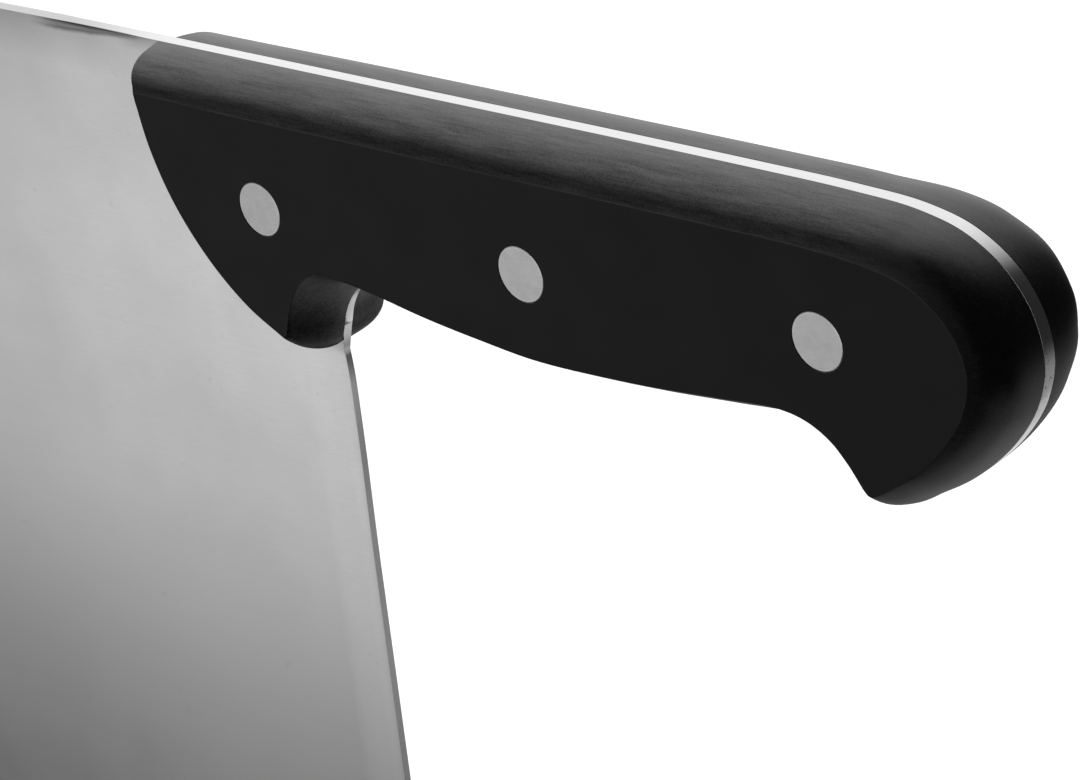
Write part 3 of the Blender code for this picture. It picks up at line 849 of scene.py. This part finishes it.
def edge_tone_and_painted_light(nodes, where, normal, pits):
    """Brightness of the ground edges, largely painted light: a painted reflection makes them
    brightest in the choil below the scales, painted shade darkens them between the scales and on the
    upper butt, and they are darker along the spine's top.
    """
    x, _, z = nodes.split(where)
    overall, choil_painted_shade = 0.88, 0.30
    # Painted reflection on the heel's edge: brightest just below the scales, fading lower down.
    heel_painted_light = nodes.multiply(
        nodes.fade(z, between=(-42.0, -43.6)),
        nodes.fade(z, between=(-62.0, -46.0), to=(0.15, 1.02)),
    )
    pitted = nodes.remap(pits, between=(0.0, 1.0), to=(0.0, -0.06))
    # Painted light on the edges facing +X in front of the grip: the painted reflection below the
    # scales, painted shade in the choil between the scales, and darker real pits.
    rear = nodes.multiply(
        nodes.fade(normal[0], between=(0.25, 0.55)),
        nodes.fade(x, between=(-29.0, -34.0)),
        nodes.add(nodes.subtract(heel_painted_light, choil_painted_shade), pitted),
    )
    # Painted shade: the upper butt's steel is darkened.
    butt = nodes.multiply(
        nodes.fade(x, between=(60.0, 68.0), to=(0.0, -0.64)),
        nodes.fade(z, between=(-20.5, -25.5)),
    )
    # The spine's top is darker in front of the handle.
    spine = nodes.multiply(
        nodes.fade(x, between=(-73.0, -97.0), to=(0.0, -0.36)),
        nodes.fade(normal[2], between=(0.3, 0.6)),
    )
    return nodes.multiply(nodes.add(rear, butt, spine, 1.0), overall)


def satin_steel(nodes):
    """Fine satin polish: faint grinding lines along the blade, soft smudges, tiny pits, and painted
    shade and painted reflection on the side and the edges.
    """
    where = nodes.position()
    x, _, z = nodes.split(where)
    base_tone, spot_loss, pit_loss = 0.62, 0.035, 0.3
    lines = nodes.noise(nodes.scaled(where, by=(0.035, 1.0, 5.0)), detail=3.0, roughness=0.6)
    fine = nodes.noise(nodes.scaled(where, by=(0.4, 9.0, 9.0)), roughness=0.6)
    smudge = nodes.noise(where, scale=0.045, detail=3.0, roughness=0.55)
    spot = nodes.fade(nodes.noise(where, scale=0.55), between=(0.70, 0.78))
    tone = nodes.add(nodes.swing(lines, by=0.008), nodes.swing(smudge, by=0.012), base_tone)
    tone = nodes.subtract(tone, nodes.multiply(spot, spot_loss))
    # Tiny dark pits on the lower part of the butt's steel.
    pits = nodes.fade(nodes.noise(where, scale=1.5, roughness=0.6), between=(0.58, 0.68))
    butt = nodes.multiply(
        nodes.fade(x, between=(66.0, 72.0)), nodes.fade(z, between=(-14.0, -19.0))
    )
    tone = nodes.subtract(tone, nodes.multiply(pits, butt, pit_loss))
    # The side is a little darker near the heel, and lighter in a strip right beside it lower down.
    normal = nodes.split(nodes.coordinate("Normal"))
    side = nodes.fade(nodes.math("ABSOLUTE", normal[1], 0.0), between=(0.10, 0.60))
    heel_slope, heel_x = 0.0601, -45.25  # the heel's line, as x over z
    gap = nodes.subtract(nodes.add(nodes.multiply(z, heel_slope), heel_x), x)
    darker_near_heel = nodes.multiply(
        nodes.fade(gap, between=(10.0, 3.5)),
        nodes.fade(z, between=(-66.0, -50.0), to=(0.042, 0.058)),
    )
    tone = nodes.subtract(tone, nodes.multiply(darker_near_heel, side))
    lighter_heel_strip = nodes.multiply(
        nodes.fade(gap, between=(2.6, 0.6), to=(0.0, 0.035)),
        nodes.fade(z, between=(-54.0, -66.0)),
    )
    tone = nodes.add(tone, lighter_heel_strip)
    # The side's stain, with painted shade towards the cutting edge.
    stain_and_painted_shade = side_stain_and_painted_shade(nodes, where)
    on_side = nodes.add(1.0, nodes.multiply(side, nodes.subtract(stain_and_painted_shade, 1.0)))
    # Painted light on the edges, left off the sides.
    edges = edge_tone_and_painted_light(nodes, where, normal, pits)
    edges = nodes.add(edges, nodes.multiply(side, nodes.subtract(1.0, edges)))
    fine_share = 0.3  # of the fine lines in the relief
    relief = nodes.add(lines, nodes.multiply(fine, fine_share))
    return {
        "Base Color": nodes.grey(nodes.multiply(tone, on_side, edges)),
        "Roughness": nodes.add(
            nodes.remap(smudge, between=(0.35, 0.7), to=(0.20, 0.25)), nodes.swing(fine, by=0.015)
        ),
        "Metallic": 1.0,
        "Normal": nodes.bump(relief, strength=0.04, distance=0.00002),
    }


def black_acetal(nodes, seed):
    """Milled flat faces, and sanded round-overs with lengthwise grain and speckle."""
    where = nodes.moved(nodes.position(), by=(seed * 37.0, seed * 11.0, seed * 5.0))
    normal = nodes.split(nodes.coordinate("Normal"))
    # Whatever turns away from the flat face's direction is sanded.
    sanded = nodes.fade(nodes.math("ABSOLUTE", normal[1], 0.0), between=(0.9995, 0.997))
    grain = nodes.noise(nodes.scaled(where, by=(0.22, 2.6, 2.6)), detail=4.0, roughness=0.65)
    speckle = nodes.noise(where, scale=4.5, roughness=0.7)
    streaks = nodes.noise(nodes.scaled(where, by=(0.10, 0.9, 0.9)))
    cloud = nodes.noise(where, scale=0.12, detail=3.0)

    def over_sanding(milled, rounded):
        return nodes.remap(sanded, between=(0.0, 1.0), to=(milled, rounded))

    texture = nodes.add(nodes.swing(grain, by=0.004), nodes.swing(speckle, by=0.0035))
    base = nodes.multiply(
        nodes.remap(cloud, to=(0.0148, 0.0166)), over_sanding(milled=1.0, rounded=0.19)
    )
    tone = nodes.add(nodes.multiply(texture, sanded), base)
    darkest = 0.001
    sanded_rough = nodes.add(nodes.remap(grain, to=(0.34, 0.40)), nodes.swing(speckle, by=0.03))
    milled_rough = nodes.remap(cloud, to=(0.42, 0.46))
    rough = nodes.new(
        "ShaderNodeMix", data_type="FLOAT", Factor=sanded, A=milled_rough, B=sanded_rough
    )
    # The sanding leaves a fine speckle, lengthwise grain and soft streaks in the sheen.
    sheen = nodes.add(
        nodes.swing(speckle, by=0.25, between=(0.25, 0.75)),
        nodes.swing(grain, by=0.15),
        nodes.swing(streaks, by=0.11),
    )
    handle_x = nodes.split(nodes.position())[0]
    calm_butt = nodes.fade(handle_x, between=(50.0, 66.0), to=(1.0, 0.3))
    sheen = nodes.multiply(sheen, calm_butt, sanded)
    grain_share, speckle_share = 0.7, 0.6  # in the relief
    relief = nodes.add(
        nodes.multiply(grain, grain_share), nodes.multiply(speckle, speckle_share)
    )
    return {
        "Base Color": nodes.grey(nodes.math("MAXIMUM", tone, darkest)),
        "Roughness": rough.outputs[0],
        "Specular IOR Level": nodes.add(sheen, over_sanding(milled=0.20, rounded=0.5)),
        "Normal": nodes.bump(
            relief, strength=over_sanding(milled=0.05, rounded=0.6), distance=0.00003
        ),
    }


def ground_head(nodes, seed, centre_x, centre_z):
    """Ground steel head: fine parallel lines roughly along the handle, and a brighter rim."""
    where = nodes.position()
    x, _, z = nodes.split(where)
    from_centre = nodes.new(
        "ShaderNodeCombineXYZ", X=nodes.subtract(x, centre_x), Z=nodes.subtract(z, centre_z)
    )
    radius = nodes.vector_math("LENGTH", from_centre.outputs[0])["Value"]
    rim = nodes.fade(radius, between=(HEAD_R - 0.34, HEAD_R - 0.14), to=(0.0, 0.11))
    where = nodes.moved(where, by=(seed * 3.0, 0.0, seed * 7.0))
    grinding_angle = math.radians(6 + 5 * seed)
    turned = nodes.new(
        "ShaderNodeVectorRotate", rotation_type="Y_AXIS", Angle=grinding_angle, Vector=where
    )
    stretched = nodes.scaled(turned.outputs[0], by=(0.5, 1.0, 5.5))
    lines = nodes.noise(stretched, detail=3.0, roughness=0.6)
    cloud = nodes.noise(where, scale=0.7)
    base_tone = 0.55
    tone = nodes.add(
        nodes.swing(lines, by=0.08, between=(0.28, 0.72)),
        nodes.swing(cloud, by=0.03),
        rim,
        base_tone,
    )
    return {
        "Base Color": nodes.grey(tone),
        "Roughness": nodes.remap(lines, to=(0.28, 0.36)),
        "Metallic": 1.0,
        "Normal": nodes.bump(lines, strength=0.12, distance=0.00002),
    }


def white_paper(nodes):
    grain = nodes.noise(nodes.coordinate("Object"), scale=60.0)
    return {
        "Base Color": nodes.grey(nodes.remap(grain, to=(0.88, 0.90))),
        "Roughness": 0.9,
        "Specular IOR Level": 0.1,
        "Emission Color": (1, 1, 1, 1),
        "Emission Strength": 0.62,
    }


# ---------------------------------------------------------------- the cleaver
def hand_over(piece, material, replaced):
    piece.data.materials.append(material)
    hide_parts(replaced)
    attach(piece, "root")


blade = blade_object("blade_and_tang_visual")
steel_finish = new_material("blade_satin_steel", satin_steel)
hand_over(blade, steel_finish, "blade_and_tang")

for seed, (name, side) in enumerate((("left_handle_scale", -1), ("right_handle_scale", 1))):
    scale = scale_object(f"{name}_visual", side)
    acetal = new_material(f"{name}_acetal", lambda nodes: black_acetal(nodes, seed))
    hand_over(scale, acetal, name)

for seed, (name, x, z) in enumerate(RIVETS):
    head = new_material(f"{name}_rivet_steel", lambda nodes: ground_head(nodes, seed, x, z))
    for piece, part in zip(rivet_objects(name, x, z), ("tube", "pin")):
        hand_over(piece, head, f"{name}_rivet_{part}")

# ---------------------------------------------------------------- world
scene = bpy.context.scene
scene.view_settings.view_transform = "Standard"
scene.view_settings.look = "None"

world = bpy.data.worlds.new("studio")
scene.world = world
world.use_nodes = True
world.node_tree.nodes.clear()
sky = Nodes(world.node_tree)
direction = sky.coordinate("Generated")


def card(strength, *windows):
    """Soft-edged light: strength times smooth windows (direction, dark, bright), where dark and
    bright are cosines of the angle from the direction."""
    glow = strength
    for toward, dark, bright in windows:
        toward = Vector(toward).normalized()
        cosine = sky.vector_math("DOT_PRODUCT", direction, toward)["Value"]
        to = (0.0, 1.0) if dark < bright else (1.0, 0.0)
        window = sky.fade(cosine, between=(min(dark, bright), max(dark, bright)), to=to)
        glow = sky.multiply(window, glow)
    return glow


CARD_UP = (0.207, -0.761, 0.6145)
CARD_TOP = (-0.30, -0.30, 0.90)
GLOW_TOWARD = (-0.72, -0.62, 0.30)
OVERHEAD = (-0.62, 0.47, 0.62)
LEFT, BACK, UP, DOWN = (-1, 0, 0), (0, 1, 0), (0, 0, 1), (0, 0, -1)
AMBIENT = 0.03
lights = [
    # The white card in front on the -X side, which the blade's side mirrors.
    card(
        1.14,
        (CARD_UP, -0.13, 0.05), (CARD_TOP, 0.38, 0.0), (LEFT, 0.34, 0.56), (LEFT, 1.0, 0.70),
        (UP, -0.63, -0.39),
    ),
    # A weak glow in front on the -X side.
    card(0.21, (GLOW_TOWARD, 0.70, 0.96)),
    # The big overhead light, above and behind on the -X side.
    card(1.45, (OVERHEAD, 0.35, 0.92)),
    # The pale back wall, low behind the object, and the table below it.
    card(0.33, (DOWN, 0.28, 0.60), (BACK, 0.15, 0.60)),
    card(0.40, (DOWN, 0.70, 0.98)),
]
total_light = AMBIENT
for light in lights:
    total_light = sky.add(light, total_light)
# The camera sees plain white instead of the lights.
seen = sky.new("ShaderNodeLightPath").outputs["Is Camera Ray"]
lighting = sky.new("ShaderNodeBackground", Color=sky.grey(total_light)).outputs[0]
backdrop = sky.new("ShaderNodeBackground", Color=(1, 1, 1, 1), Strength=1.02).outputs[0]
shown = sky.new("ShaderNodeMixShader", seen, lighting, backdrop).outputs[0]
sky.new("ShaderNodeOutputWorld", Surface=shown)

# ---------------------------------------------------------------- softboxes
# A large one in front and a small one close behind, which only the steel mirrors. They keep the
# blade from going black seen straight on or from behind; the plastic stays dark without them.
steel = bpy.data.collections.new("steel_pieces")
for piece in list(scene.objects):
    if piece.name.endswith("_visual") and "scale" not in piece.name:
        steel.objects.link(piece)


def softbox(name, toward, distance, width, height, power):
    """Area light facing the datum; sizes in metres, power in watts."""
    data = bpy.data.lights.new(name, "AREA")
    data.shape = "RECTANGLE"
    data.size = width
    data.size_y = height
    data.energy = power
    box = bpy.data.objects.new(name, data)
    scene.collection.objects.link(box)
    toward = Vector(toward).normalized()
    turn = toward.to_track_quat("Z", "Y").to_matrix().to_4x4()
    box.matrix_world = Matrix.Translation(DATUM + toward * distance) @ turn
    box.visible_camera = False
    box.light_linking.receiver_collection = steel


softbox(
    "front_softbox", toward=(0.25, -1.0, 0.05), distance=1.6, width=1.7, height=1.9, power=11.0
)
softbox(
    "back_softbox", toward=(0.0, 1.0, -0.62), distance=0.26, width=0.20, height=0.26, power=0.16
)

# ---------------------------------------------------------------- floor
FLOOR_HALF = 6  # metres
FLOOR_GAP = 0.0002  # metres below the lowest point
floor_z = min(corner[2] for corner in cad_box) - FLOOR_GAP
bm = bmesh.new()
bm.faces.new([
    bm.verts.new((x * FLOOR_HALF, y * FLOOR_HALF, floor_z))
    for x, y in ((-1, -1), (1, -1), (1, 1), (-1, 1))
])
mesh = bpy.data.meshes.new("floor")
bm.to_mesh(mesh)
bm.free()
floor = bpy.data.objects.new("floor", mesh)
scene.collection.objects.link(floor)
floor.data.materials.append(new_material("white_paper", white_paper))
floor.visible_glossy = False
floor.visible_diffuse = False

# ---------------------------------------------------------------- camera
CAMERA_OFFSET = Vector((0.34141, -0.32692, 0.18332))  # metres from the datum
camera_data = bpy.data.cameras.new("camera")
camera_data.sensor_fit = "HORIZONTAL"
camera_data.sensor_width = 36.0
camera_data.lens = 131.24
camera_data.clip_start = 0.01
camera_data.clip_end = 50
camera = bpy.data.objects.new("camera", camera_data)
scene.collection.objects.link(camera)
forward = Vector((-0.66313, 0.61721, -0.42345)).normalized()
right = Vector((0.72170, 0.67726, -0.14302)).normalized()
up = right.cross(forward)
basis = Matrix((right, up, -forward)).transposed().to_4x4()
camera.matrix_world = Matrix.Translation(DATUM + CAMERA_OFFSET) @ basis
scene.camera = camera
